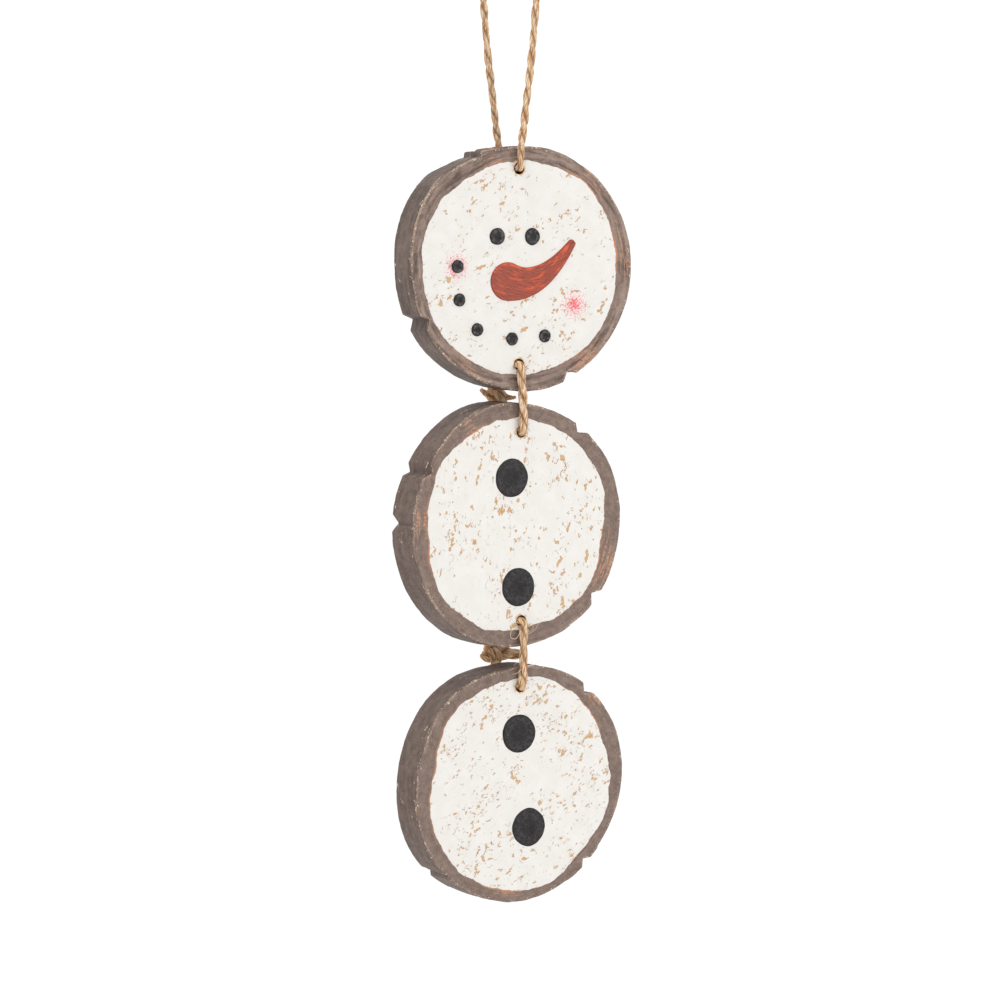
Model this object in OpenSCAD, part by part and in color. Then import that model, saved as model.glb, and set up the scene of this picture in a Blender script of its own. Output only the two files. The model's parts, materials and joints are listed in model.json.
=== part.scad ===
// Hanging wooden snowman: three round wood slices strung one under the other on jute twine.
// The frame's origin is the inner top of the hanging loop, where the hook bears. +Z is up,
// and the painted faces look towards -Y. Every disc hangs turned a little about +Z.

/* [Discs] */
// Thickness of every wood slice
disc_t = 14.5; // [10:0.5:18]
// Mean radius of the head slice
head_r = 43.4; // [40:0.1:44]
// Mean radius of the middle slice
middle_r = 43.8; // [40:0.1:44]
// Mean radius of the bottom slice
bottom_r = 42.7; // [40:0.1:44]
// Diameter of the holes drilled from front to back
hole_d = 4; // [3.8:0.1:6]

/* [Hanging] */
// Height of the head slice's centre
head_z = -111.4; // [-112:0.2:-110]
// Height of the middle slice's centre
middle_z = -202.5; // [-203:0.2:-202]
// Height of the bottom slice's centre
bottom_z = -295; // [-296:0.2:-294.6]
// Turn of the head slice about the twine
head_turn = -4; // [-8:0.5:8]
// Turn of the middle slice about the twine
middle_turn = 3.5; // [-8:0.5:8]
// Turn of the bottom slice about the twine
bottom_turn = 1; // [-8:0.5:8]

/* [Twine] */
// Diameter of the jute twine
twine_d = 3; // [2:0.1:3]
// Gap left between the twine and the wood
twine_gap = 0.15; // [0.1:0.05:0.4]

/* [Thick paint] */
// Diameter of the eyes
eye_d = 6.1; // [4:0.1:8]
// Diameter of the mouth's dots
dot_d = 4.7; // [3:0.1:6]
// Diameter of the buttons
button_d = 14; // [10:0.5:16]
// Height of the eyes and the mouth's dots above the face
dome_h = 0.8; // [0.4:0.1:1.5]
// Height of the buttons and the nose above the face
coat_h = 0.5; // [0.3:0.1:1]

/* [Hidden] */
$fn = 64;

// Colours
bark = [0.50, 0.43, 0.39];
black = [0.16, 0.15, 0.16];
brick = [0.66, 0.30, 0.24];
jute = [0.76, 0.62, 0.44];

// Each slice's outline is a circle with waves: [waves round the rim, height, place of a crest],
// drawn with a point every rim_step degrees
head_waves = [[2, 0.5, -14], [3, 0.6, 26], [4, 0.35, -44], [5, 0.2, -8]];
middle_waves = [[2, 0.5, 4], [3, 0.4, -2], [4, 0.2, 28], [5, 0.3, 32]];
bottom_waves = [[2, 0.8, 26], [3, 0.5, 15], [4, 0.3, 33], [5, 0.2, -13]];
rim_step = 5;

// Whittled notches: [place round the rim, depth at the front face, depth at the back face]
head_notches = [[-153, 2.6, 2.8], [-63, 2.8, 2.4], [107, 0.4, 1.8]];
middle_notches = [[152, 2.8, 2.2], [178, 0.3, 2.8], [51, 2.8, 2.4], [-39, 3, 2.6]];
bottom_notches = [[-134, 0.8, 2.2], [48, 2.6, 2.4], [-47, 2.2, 2]];
// Opening angle of a notch, and how far out its cutter reaches
notch_angle = 100;
notch_reach = 8;

// Sideways place of each slice's centre beside its twine
head_x = 0.8;
middle_x = -1.2;
bottom_x = -0.6;

// Heights of the holes
head_top_hole = -76.5;
head_low_hole = -145.6;
middle_top_hole = -169.5;
middle_low_hole = -236.8;
bottom_top_hole = -260.3;

// Middle of the gaps between the slices, and the turn of the twine there
upper_gap = -157.2;
lower_gap = -249.2;
upper_turn = (head_turn + middle_turn) / 2;
lower_turn = (middle_turn + bottom_turn) / 2;

// Twine: radius, place of a strand in front of or behind the wood, and the bend at a hole,
// which has a ring every bend_step degrees
twine_r = twine_d / 2;
strand_y = disc_t / 2 + twine_gap + twine_r;
bend_r = 1.8;
bend_step = 22.5;
// How far the twine sits off the hole's centre, towards the side that bears the load
hole_gap = 0.2;
seat = hole_d / 2 - twine_r - hole_gap;
// Sides of every tube of twine
sides = 8;

// A link turns from its slice's direction to the gap's over these lengths, in front and behind
front_ease = 4;
back_ease = 6;
back_ease_in = 0.3;

// Knots: how far behind the slices, and half the height of a link's and of the hanger's
knot_y = strand_y + twine_r;
knot_half = 3;
hanger_knot_half = 2.4;
// The two wraps of a knot are squeezed twine, one to each side of the middle
wrap_r = twine_r;
wrap_twine_r = twine_r - 0.2;
wrap_x = 1.17;
// The cut tails, and where they leave the knot
tail_r = twine_r - 0.15;
tail_x = 0.4;
tail_y = 0.6;
// Heights where the hanger's two ends meet the wood, where they are knotted and where they part
sling_z = -72;
hanger_knot_z = -72.6;
sling_end_z = -69;

// Front half of the hanging loop, from the sling up to the top of the bight
hanger_front = [
    [-0.5, -8.9, -69], [0.6, -8.4, -63], [2, -7.5, -56], [3.6, -6.6, -48.5],
    [5.1, -5.7, -41], [6.6, -4.7, -33], [8.1, -3.5, -25], [9.4, -2.3, -18],
    [10.4, -1.2, -12.5], [10.8, -0.4, -8.5], [10, 0, -5.2], [8.2, 0, -2.3],
    [5.6, 0, -0.1], [2.8, 0, 1.1]
];
hanger_top = [[0, 0, 1.5]];

// Places of the thick paint, as [x, z] in each slice's own turned frame
eye_places = [[-8.5, -100.4], [5.3, -100.4]];
mouth_places = [[-24, -111], [-23.3, -122.7], [-16.3, -133.2], [-2.7, -136.5], [10.2, -135.6]];
middle_button_places = [[-4.1, -185.7], [-1.3, -224.7]];
bottom_button_places = [[-0.6, -277.1], [3.4, -311]];

// Carrot nose: a spine from the round end to the tip, and the half widths at both
nose_spine = [[-4.4, -116.3], [8.5, -119.6], [20.7, -103]];
nose_base_r = 6.9;
nose_tip_r = 1.7;
nose_steps = 12;
nose_end_step = 15;

// A pat of paint stands upright to pat_side of its height, then rounds over: the middle of the
// round is at pat_round of the height and pat_inset of the height in from the side
pat_side = 0.45;
pat_round = 0.85;
pat_inset = 0.3;

// --- Helpers ---

function unit(v) = v / norm(v);
function at(turn, x, y, z) = [x * cos(turn) - y * sin(turn), x * sin(turn) + y * cos(turn), z];
function rim(r, waves, a) =
    r + [for (w = waves) w[1] * cos(w[0] * (a - w[2]))] * [for (w = waves) 1];
function outline(r, waves) =
    [for (a = [0 : rim_step : 360 - rim_step]) rim(r, waves, a) * [cos(a), sin(a)]];

// A tube along a route. Its rings stand square to the route, and across is a direction that
// the route never follows. The first and last rings are level.
function along(p, i) =
    i == 0 || i == len(p) - 1
        ? [0, 0, sign(p[min(i + 1, len(p) - 1)][2] - p[max(i - 1, 0)][2])]
        : unit(unit(p[i + 1] - p[i]) + unit(p[i] - p[i - 1]));
function ring(p, i, r, across) =
    let (t = along(p, i), b = unit(across - (across * t) * t), n = cross(t, b))
    [for (k = [0 : sides - 1]) p[i] + r * (cos(k * 360 / sides) * b + sin(k * 360 / sides) * n)];
module tube(p, r, across) {
    last = (len(p) - 1) * sides;
    points = [for (i = [0 : len(p) - 1]) each ring(p, i, r, across)];
    walls = [
        for (i = [0 : len(p) - 2], k = [0 : sides - 1])
            let (a = i * sides + k, b = i * sides + (k + 1) % sides)
            each [[a, a + sides, b], [b, a + sides, b + sides]]
    ];
    ends = [[for (k = [0 : sides - 1]) k], [for (k = [sides - 1 : -1 : 0]) last + k]];
    polyhedron(points, concat(walls, ends));
}

// --- Wood slices ---

module notch(r, place, front, back) {
    lean = atan((back - front) / disc_t);
    rotate([0, -place, 0])
        translate([r - (front + back) / 2, 0, 0])
            rotate([0, 0, lean])
                rotate([90, 0, 0])
                    linear_extrude(2 * disc_t, center = true)
                        polygon([
                            [0, 0],
                            [notch_reach, notch_reach * tan(notch_angle / 2)],
                            [notch_reach, -notch_reach * tan(notch_angle / 2)]
                        ]);
}

module slice(r, waves, notches, x, z, turn, holes) {
    color(bark)
        rotate([0, 0, turn])
            difference() {
                translate([x, 0, z])
                    difference() {
                        rotate([90, 0, 0])
                            linear_extrude(disc_t, center = true)
                                polygon(outline(r, waves));
                        for (n = notches)
                            notch(rim(r, waves, n[0]), n[0], n[1], n[2]);
                    }
                for (h = holes)
                    translate([0, 0, h])
                        rotate([90, 0, 0])
                            cylinder(h = disc_t + 2, d = hole_d, center = true);
            }
}

module head_disc()
    slice(head_r, head_waves, head_notches, head_x, head_z, head_turn,
          [head_top_hole, head_low_hole]);
module middle_disc()
    slice(middle_r, middle_waves, middle_notches, middle_x, middle_z, middle_turn,
          [middle_top_hole, middle_low_hole]);
module bottom_disc()
    slice(bottom_r, bottom_waves, bottom_notches, bottom_x, bottom_z, bottom_turn,
          [bottom_top_hole]);

// --- Thick paint on the front faces ---

module on_face(turn, place) {
    rotate([0, 0, turn])
        translate([place[0], -disc_t / 2, place[1]])
            rotate([90, 0, 0])
                children();
}

// A round pat of paint with a softened edge
module pat(d, h) {
    color(black)
        rotate_extrude()
            polygon([
                [0, 0], [d / 2, 0], [d / 2, h * pat_side],
                [d / 2 - h * pat_inset, h * pat_round], [d / 2 - h, h], [0, h]
            ]);
}

module eye(i) on_face(head_turn, eye_places[i]) pat(eye_d, dome_h);
module mouth_dot(i) on_face(head_turn, mouth_places[i]) pat(dot_d, dome_h);
module middle_button(i) on_face(middle_turn, middle_button_places[i]) pat(button_d, coat_h);
module bottom_button(i) on_face(bottom_turn, bottom_button_places[i]) pat(button_d, coat_h);

function nose_at(t) =
    (1 - t) * (1 - t) * nose_spine[0] + 2 * t * (1 - t) * nose_spine[1] + t * t * nose_spine[2];
function nose_way(t) =
    unit((1 - t) * (nose_spine[1] - nose_spine[0]) + t * (nose_spine[2] - nose_spine[1]));
function nose_r(t) = nose_base_r + (nose_tip_r - nose_base_r) * t;
function nose_side(t, s) =
    let (w = nose_way(t)) nose_at(t) + s * nose_r(t) * [-w[1], w[0]];
function nose_end(t, a0) =
    let (w = nose_way(t), a = atan2(w[1], w[0]) + a0)
    [for (k = [nose_end_step : nose_end_step : 180 - nose_end_step])
        nose_at(t) + nose_r(t) * [cos(a + k), sin(a + k)]];
module carrot_nose() {
    steps = [for (i = [0 : nose_steps]) i / nose_steps];
    color(brick)
        on_face(head_turn, [0, 0])
            linear_extrude(coat_h)
                polygon(concat(
                    [for (t = steps) nose_side(t, -1)],
                    nose_end(1, -90),
                    [for (i = [nose_steps : -1 : 0]) nose_side(steps[i], 1)],
                    nose_end(0, 90)
                ));
}

// --- Twine ---

// The quarter bend where the twine comes out of a hole. way is -1 in front and 1 behind, and
// up is 1 where the twine leaves upwards and -1 where it leaves downwards.
function bend(turn, way, up, z) =
    [for (a = [0 : bend_step : 90])
        at(turn, 0, way * (strand_y - bend_r + bend_r * sin(a)), z + up * bend_r * (1 - cos(a)))];
function back_to_front(p) = [for (i = [len(p) - 1 : -1 : 0]) p[i]];
// The twine through one hole, from in front of the slice to behind it
function passage(turn, up, hole) =
    let (z = hole + up * seat)
    concat(
        back_to_front(bend(turn, -1, up, z)),
        [at(turn, 0, 0, z)],
        bend(turn, 1, up, z)
    );

module hanger_cord() {
    back = [for (p = hanger_front) [-p[0], -p[1], p[2]]];
    color(jute)
        tube(concat(hanger_front, hanger_top, back_to_front(back)), twine_r, [0, 1, 0]);
}

module hanger_sling() {
    color(jute)
        tube(concat(
            [hanger_front[0], at(head_turn, 0, -strand_y, sling_z)],
            passage(head_turn, 1, head_top_hole),
            [at(head_turn, 0, strand_y, sling_z),
             [-hanger_front[0][0], -hanger_front[0][1], sling_end_z]]
        ), twine_r, at(head_turn, 1, 0, 0));
}

// Half of a link: from the middle of the gap in front, through a slice's hole, to the knot
module half_link(turn, gap_turn, gap, hole, up) {
    away = -up;
    half = (turn + gap_turn) / 2;
    color(jute)
        tube(concat(
            [at(gap_turn, 0, -strand_y, gap),
             at(half, 0, -strand_y, gap + away * front_ease)],
            passage(turn, up, hole),
            [at(half, 0, knot_y - back_ease_in, gap + away * back_ease),
             at(gap_turn, 0, knot_y, gap + away * knot_half)]
        ), twine_r, at(turn, 1, 0, 0));
}

module wraps() {
    for (x = [-wrap_x, wrap_x])
        translate([x, 0, 0])
            rotate([0, 90, 0])
                rotate_extrude()
                    translate([wrap_r, 0])
                        circle(wrap_twine_r);
}

// A knot on the back strand. half is half its height, and left and right are its two cut
// tails: [length from the middle, rise in degrees for the left one and fall for the right one]
module knot(turn, z, half, left, right) {
    color(jute)
        rotate([0, 0, turn])
            translate([0, knot_y, z])
                union() {
                    wraps();
                    cylinder(h = 2 * half, r = twine_r, center = true);
                    rotate([0, -90, left[1]])
                        translate([tail_x, tail_y, 0])
                            cylinder(h = left[0], r = tail_r);
                    rotate([0, 90, right[1]])
                        translate([-tail_x, tail_y, 0])
                            cylinder(h = right[0], r = tail_r);
                }
}

module hanger_knot() knot(head_turn, hanger_knot_z, hanger_knot_half, [8, -12], [7, 10]);
module upper_link_top() half_link(head_turn, upper_turn, upper_gap, head_low_hole, -1);
module upper_link_knot() knot(upper_turn, upper_gap, knot_half, [8, -12], [9, 8]);
module upper_link_bottom() half_link(middle_turn, upper_turn, upper_gap, middle_top_hole, 1);
module lower_link_top() half_link(middle_turn, lower_turn, lower_gap, middle_low_hole, -1);
module lower_link_knot() knot(lower_turn, lower_gap, knot_half, [6, -10], [11, 6]);
module lower_link_bottom() half_link(bottom_turn, lower_turn, lower_gap, bottom_top_hole, 1);

hanger_cord();
hanger_sling();
hanger_knot();
head_disc();
eye(0);  // left_eye
eye(1);  // right_eye
carrot_nose();
mouth_dot(0);  // mouth_dot_1
mouth_dot(1);  // mouth_dot_2
mouth_dot(2);  // mouth_dot_3
mouth_dot(3);  // mouth_dot_4
mouth_dot(4);  // mouth_dot_5
upper_link_top();
upper_link_knot();
upper_link_bottom();
middle_disc();
middle_button(0);  // middle_button_upper
middle_button(1);  // middle_button_lower
lower_link_top();
lower_link_knot();
lower_link_bottom();
bottom_disc();
bottom_button(0);  // bottom_button_upper
bottom_button(1);  // bottom_button_lower
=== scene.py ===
# A hanging wooden snowman: three painted wood slices on jute twine, dressed around its CAD frame.

import json
import math

import bmesh
import bpy
import numpy as np
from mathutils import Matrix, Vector
from mathutils.bvhtree import BVHTree


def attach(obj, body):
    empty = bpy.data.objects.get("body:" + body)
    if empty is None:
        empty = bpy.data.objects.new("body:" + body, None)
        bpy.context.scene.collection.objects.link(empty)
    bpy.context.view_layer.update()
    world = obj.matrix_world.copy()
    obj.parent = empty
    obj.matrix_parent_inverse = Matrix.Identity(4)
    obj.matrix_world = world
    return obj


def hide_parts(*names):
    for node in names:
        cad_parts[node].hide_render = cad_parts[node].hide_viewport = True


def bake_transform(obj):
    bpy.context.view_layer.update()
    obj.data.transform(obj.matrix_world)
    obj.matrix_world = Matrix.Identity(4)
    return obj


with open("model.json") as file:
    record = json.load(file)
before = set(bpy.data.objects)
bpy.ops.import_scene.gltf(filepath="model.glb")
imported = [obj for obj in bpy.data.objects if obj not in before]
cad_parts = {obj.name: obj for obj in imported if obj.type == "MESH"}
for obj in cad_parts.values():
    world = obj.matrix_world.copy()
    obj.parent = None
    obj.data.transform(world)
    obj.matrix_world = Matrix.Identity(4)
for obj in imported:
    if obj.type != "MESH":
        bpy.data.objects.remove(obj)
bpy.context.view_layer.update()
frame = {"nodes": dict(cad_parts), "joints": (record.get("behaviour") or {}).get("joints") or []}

MM = 0.001
JOINTS = {j["name"]: j for j in frame["joints"]}


# --- Camera ---

CAMERA_AZIMUTH = math.radians(-30)
CAMERA_RISE = math.radians(3.7)
CAMERA_DISTANCE = 1.27
CAMERA_LENS = 127.5
# The camera aims beside the twine, at this height
AIM_RIGHT = -2.6 * MM
AIM_HEIGHT = -195 * MM


def make_camera():
    camera = bpy.data.objects.new("camera", bpy.data.cameras.new("camera"))
    camera.data.lens = CAMERA_LENS
    camera.data.sensor_width = 36
    camera.data.clip_end = 100
    bpy.context.collection.objects.link(camera)
    away = Vector((
        math.sin(CAMERA_AZIMUTH) * math.cos(CAMERA_RISE),
        -math.cos(CAMERA_AZIMUTH) * math.cos(CAMERA_RISE),
        math.sin(CAMERA_RISE),
    ))
    right = Vector((math.cos(CAMERA_AZIMUTH), math.sin(CAMERA_AZIMUTH), 0))
    aim = right * AIM_RIGHT + Vector((0, 0, AIM_HEIGHT))
    camera.location = aim + away * CAMERA_DISTANCE
    camera.rotation_euler = (-away).to_track_quat("-Z", "Y").to_euler()
    bpy.context.scene.camera = camera


make_camera()
bpy.context.scene.view_settings.view_transform = "Standard"


# --- Shared helpers ---


def turn_of(joint):
    """How far a slice is turned about +Z, from the axis it sways about."""
    axis = JOINTS[joint]["axis"]
    return math.atan2(-axis[0], axis[1])


def height_of(joint):
    return JOINTS[joint]["pos_m"][2] / MM


def turned(points, turn):
    """Points in mm turned about +Z."""
    c, s = math.cos(turn), math.sin(turn)
    points = np.asarray(points, float)
    x, y = points[..., 0], points[..., 1]
    return np.stack([x * c - y * s, x * s + y * c, points[..., 2]], -1)


def new_object(name, verts, faces, smooth=True):
    """A mesh object from points in mm."""
    mesh = bpy.data.meshes.new(name)
    mesh.from_pydata((np.asarray(verts) * MM).tolist(), [], faces)
    bm = bmesh.new()
    bm.from_mesh(mesh)
    bmesh.ops.recalc_face_normals(bm, faces=bm.faces)
    bm.to_mesh(mesh)
    bm.free()
    if smooth:
        mesh.shade_smooth()
    ob = bpy.data.objects.new(name, mesh)
    bpy.context.collection.objects.link(ob)
    return ob


def around(count):
    """So many angles, evenly spaced over a full turn."""
    return np.arange(count) * 2 * math.pi / count


def circle(angles):
    return np.c_[np.cos(angles), np.sin(angles)]


def grid_faces(rows, sides, first=0, closed=True):
    """Four-cornered faces between rows of points, which are numbered on from the first."""
    faces = []
    for i in range(rows - 1):
        for j in range(sides if closed else sides - 1):
            a, b = first + i * sides + j, first + i * sides + (j + 1) % sides
            faces.append((a, b, b + sides, a + sides))
    return faces


def tube_faces(rows, sides, first=0):
    """The faces of a tube with flat ends."""
    end = first + rows * sides
    caps = [tuple(reversed(range(first, first + sides))), tuple(range(end - sides, end))]
    return grid_faces(rows, sides, first) + caps


def value_noise(points, seed):
    """Smooth noise from -1 to 1 at each point, one wave per unit."""
    points = np.asarray(points, float)
    cell = np.floor(points).astype(np.int64)
    f = points - cell
    f = f * f * (3 - 2 * f)
    total = np.zeros(len(points))
    for corner in np.ndindex(*(2,) * points.shape[1]):
        at = cell + corner
        h = np.full(len(points), seed * 374761393, np.int64)
        for axis, prime in zip(at.T, (668265263, 2147483647, 1274126177)):
            h = (h ^ (axis * prime)) * 1103515245 & 0x7FFFFFFF
            h ^= h >> 13
        w = np.prod(np.where(corner, f, 1 - f), axis=1)
        total += w * ((h & 0xFFFF) / 32767.5 - 1)
    return total


def rough(points, seed, octaves=3):
    """Noise with finer waves on it."""
    return sum(value_noise(points * 2**k, seed + k) / 2**k for k in range(octaves)) / 1.6


def set_attributes(ob, **values):
    """Stores numbers or vectors at a mesh's points."""
    for name, value in values.items():
        value = np.asarray(value, np.float32)
        kind, field = ("FLOAT_VECTOR", "vector") if value.ndim == 2 else ("FLOAT", "value")
        ob.data.attributes.new(name, kind, "POINT").data.foreach_set(field, value.ravel())


def dress(ob, material, body, node):
    """Gives a piece its material and its body, and hides the CAD node that it stands in for."""
    ob.data.materials.append(material)
    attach(ob, body)
    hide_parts(node)


# --- Node materials ---


class Shader:
    """A small helper that adds shader nodes and links them."""

    def __init__(self, name):
        self.material = bpy.data.materials.new(name)
        self.material.use_nodes = True
        self.nodes = self.material.node_tree.nodes
        self.links = self.material.node_tree.links
        self.surface = self.nodes["Principled BSDF"]

    def plug(self, socket, value):
        if isinstance(value, bpy.types.NodeSocket):
            self.links.new(value, socket)
        elif value is not None:
            socket.default_value = value

    def attribute(self, name, out="Fac"):
        node = self.nodes.new("ShaderNodeAttribute")
        node.attribute_name = name
        return node.outputs[out]

    def math(self, kind, a, b=None):
        node = self.nodes.new("ShaderNodeMath")
        node.operation = kind
        self.plug(node.inputs[0], a)
        self.plug(node.inputs[1], b)
        return node.outputs[0]

    def add(self, a, b):
        return self.math("ADD", a, b)

    def less(self, a, b):
        return self.math("SUBTRACT", a, b)

    def times(self, *values):
        total = values[0]
        for value in values[1:]:
            total = self.math("MULTIPLY", total, value)
        return total

    def vector(self, kind, a, b):
        node = self.nodes.new("ShaderNodeVectorMath")
        node.operation = kind
        self.plug(node.inputs[0], a)
        self.plug(node.inputs[1], b)
        return node.outputs["Value" if kind == "DISTANCE" else 0]

    def mapped(self, vector, scale=(1, 1, 1), turn=0.0, shift=(0, 0, 0)):
        """The vector turned about its third axis, then stretched and shifted."""
        if turn:
            first = self.nodes.new("ShaderNodeMapping")
            self.plug(first.inputs["Vector"], vector)
            first.inputs["Rotation"].default_value = (0, 0, turn)
            vector = first.outputs[0]
        node = self.nodes.new("ShaderNodeMapping")
        self.plug(node.inputs["Vector"], vector)
        node.inputs["Scale"].default_value = scale
        node.inputs["Location"].default_value = shift
        return node.outputs[0]

    def noise(self, vector, scale, detail=2.0, roughness=0.5, turn=0.0, shift=(0, 0, 0), out="Fac"):
        """Noise, which can be shifted and, with a scale of three numbers, turned and stretched."""
        if isinstance(scale, tuple):
            vector, scale = self.mapped(vector, scale, turn, shift), 1.0
        elif any(shift):
            vector = self.mapped(vector, shift=shift)
        node = self.nodes.new("ShaderNodeTexNoise")
        self.plug(node.inputs["Vector"], vector)
        node.inputs["Scale"].default_value = scale
        node.inputs["Detail"].default_value = detail
        node.inputs["Roughness"].default_value = roughness
        return node.outputs[out]

    def step(self, value, low, high):
        """0 below low and 1 above high, smooth between. low may be above high."""
        node = self.nodes.new("ShaderNodeMapRange")
        node.interpolation_type = "SMOOTHSTEP"
        self.plug(node.inputs["Value"], value)
        rising = low < high
        node.inputs["From Min"].default_value = low if rising else high
        node.inputs["From Max"].default_value = high if rising else low
        node.inputs["To Min"].default_value = 0 if rising else 1
        node.inputs["To Max"].default_value = 1 if rising else 0
        return node.outputs[0]

    def mix(self, share, a, b):
        node = self.nodes.new("ShaderNodeMix")
        node.data_type = "RGBA"
        self.plug(node.inputs[0], share)
        self.plug(node.inputs[6], a)
        self.plug(node.inputs[7], b)
        return node.outputs[2]

    def over(self, base, color, *shares):
        """The base with a colour laid over it, by the product of the shares."""
        return self.mix(self.times(*shares), base, color)

    def bump(self, height, strength, distance):
        node = self.nodes.new("ShaderNodeBump")
        node.inputs["Strength"].default_value = strength
        node.inputs["Distance"].default_value = distance * MM
        self.plug(node.inputs["Height"], height)
        return node.outputs[0]

    def finish(self, color, roughness, normal=None, specular=0.5):
        self.plug(self.surface.inputs["Base Color"], color)
        self.plug(self.surface.inputs["Roughness"], roughness)
        self.plug(self.surface.inputs["Normal"], normal)
        self.surface.inputs["Specular IOR Level"].default_value = specular
        return self.material


# How strongly the studio light falls on a face that looks to the front
LIGHT = 1.33


def seen(r, g, b):
    """The paint that looks this colour, in 0 to 255, on a front face under the studio light."""
    return tuple(
        (v / 12.92 if v <= 0.04045 else ((v + 0.055) / 1.055) ** 2.4) / LIGHT
        for v in (r / 255, g / 255, b / 255)
    ) + (1.0,)


# --- Jute twine ---

TWINE_D = 3.0
# The twine's radius before the plies, their groove and the fibres shape it: in the hanger, which is
# pulled straight, and in the links
HANGER_R, LINK_R = 1.24, 1.5
TWINE_LAY = 14.0
RING_GAP = 0.4
TWINE_SIDES = 30
# How deep the groove between the two plies is, and how wide, in radians
GROOVE = 0.27
GROOVE_WIDTH = 0.42
# How much wider the twine is across its plies than along the groove
FLAT = 0.085
# How much fuller the twine is by a hole, how far that reaches, and how long its thin cut ends are
FULLER = 0.14
FULL_REACH = 5
THIN_END = 6
# How far the lay slips one way and the other, and the length of a slip
LAY_SLIP = 2.2
SLIP_LENGTH = 17


def smooth_route(points):
    """A curve through the points, with a point every RING_GAP mm."""
    p = np.asarray(points, float)
    p = np.vstack([2 * p[0] - p[1], p, 2 * p[-1] - p[-2]])
    dense = []
    for a, b, c, d in zip(p, p[1:], p[2:], p[3:]):
        t = np.linspace(0, 1, 24, endpoint=False)[:, None]
        dense.append(0.5 * (
            2 * b + (c - a) * t + (2 * a - 5 * b + 4 * c - d) * t**2
            + (3 * b - a - 3 * c + d) * t**3
        ))
    dense = np.vstack([*dense, p[-2:-1]])
    along = np.r_[0, np.cumsum(np.linalg.norm(np.diff(dense, axis=0), axis=1))]
    steps = np.linspace(0, along[-1], int(along[-1] / RING_GAP) + 1)
    return np.stack([np.interp(steps, along, dense[:, k]) for k in range(3)], 1), steps


def route_frames(line):
    """Directions along and across the line, turning as little as possible."""
    ahead = np.gradient(line, axis=0)
    ahead /= np.linalg.norm(ahead, axis=1, keepdims=True)
    across = np.zeros_like(ahead)
    side = np.array([1.0, 0, 0])
    for i, t in enumerate(ahead):
        side = side - (side @ t) * t
        side /= np.linalg.norm(side)
        across[i] = side
    return ahead, across, np.cross(ahead, across)


class Twine:
    """Two plies of jute laid round one route, of which any stretch can be made a piece."""

    def __init__(self, route, seed, phase, radius, holes, frayed):
        self.line, self.along = smooth_route(route)
        self.ahead, self.a, self.b = route_frames(self.line)
        self.seed = seed
        # fuller where it is pressed into a hole, and thin at the cut ends, which have lost fibres
        away = np.min([np.linalg.norm(self.line - hole, axis=1) for hole in holes], axis=0)
        self.radius = radius * (1 + FULLER * np.exp(-((away - FULL_REACH).clip(0) / 3.5) ** 2))
        for left, from_end in zip(frayed, (self.along, self.along[-1] - self.along)):
            self.radius = self.radius * (left + (1 - left) * np.clip(from_end / THIN_END, 0, 1))
        slip = value_noise(np.c_[self.along / SLIP_LENGTH, np.zeros(len(self.along))], seed)
        self.angle = phase - 2 * math.pi * (self.along + LAY_SLIP * slip) / TWINE_LAY

    def nearest(self, point, first=0, last=None):
        """The place on a stretch of the route that is nearest to a point."""
        away = np.linalg.norm(self.line[first:last] - np.asarray(point), axis=1)
        return first + int(away.argmin())

    def stretch(self, first, last):
        """Points, faces and fibre attributes from one place on the route to another."""
        i = np.arange(first, last + 1)
        spin = around(TWINE_SIDES)
        s = np.repeat(self.along[i], TWINE_SIDES)
        place = np.tile(spin, len(i))
        ply = place - np.repeat(self.angle[i], TWINE_SIDES)
        off = np.abs((ply + math.pi / 2) % math.pi - math.pi / 2)
        groove = np.exp(-((off / GROOVE_WIDTH) ** 2))
        fat = np.repeat(self.radius[i], TWINE_SIDES)
        fat *= 1 + 0.07 * value_noise(np.c_[s / 6, np.zeros(len(s))], self.seed + 2)
        # the fibres run nearly straight along the twine, because each ply is laid the other way
        ring = circle(place - s * 0.11)
        cords = value_noise(np.c_[ring * 2.2, s / 7], self.seed)
        strands = value_noise(np.c_[ring * 5.5, s / 4.5], self.seed + 1)
        r = fat * (1 - FLAT * np.cos(2 * ply)) * (1 - GROOVE * groove)
        r = r + 0.12 * cords + 0.085 * strands
        c, d = np.cos(spin)[None, :, None], np.sin(spin)[None, :, None]
        out = c * self.a[i][:, None] + d * self.b[i][:, None]
        points = self.line[i][:, None] + r.reshape(len(i), -1, 1) * out
        return points.reshape(-1, 3), tube_faces(len(i), TWINE_SIDES), np.c_[ring * 1.3, s], groove


def twine_piece(name, parts):
    """One piece from stretches of twine, each as (twine, first, last)."""
    verts, faces, fibres, grooves = [], [], [], []
    for twine, first, last in parts:
        v, f, fibre, groove = twine.stretch(first, last)
        base = sum(len(x) for x in verts)
        faces += [tuple(base + i for i in face) for face in f]
        verts.append(v)
        fibres.append(fibre)
        grooves.append(groove)
    ob = new_object(name, np.vstack(verts), faces)
    set_attributes(ob, fibre=np.vstack(fibres), groove=np.concatenate(grooves))
    return ob


def fibre_ring(centre, a, b, r, sides, start=0.0):
    """Points round a fibre, in the plane of two directions."""
    return [centre + r * (math.cos(q) * a + math.sin(q) * b) for q in start + around(sides)]


HAIR_STEPS = 9
HAIR_SIDES = 3
# How far below the twine's surface a hair starts
HAIR_ROOT = 0.55


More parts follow.
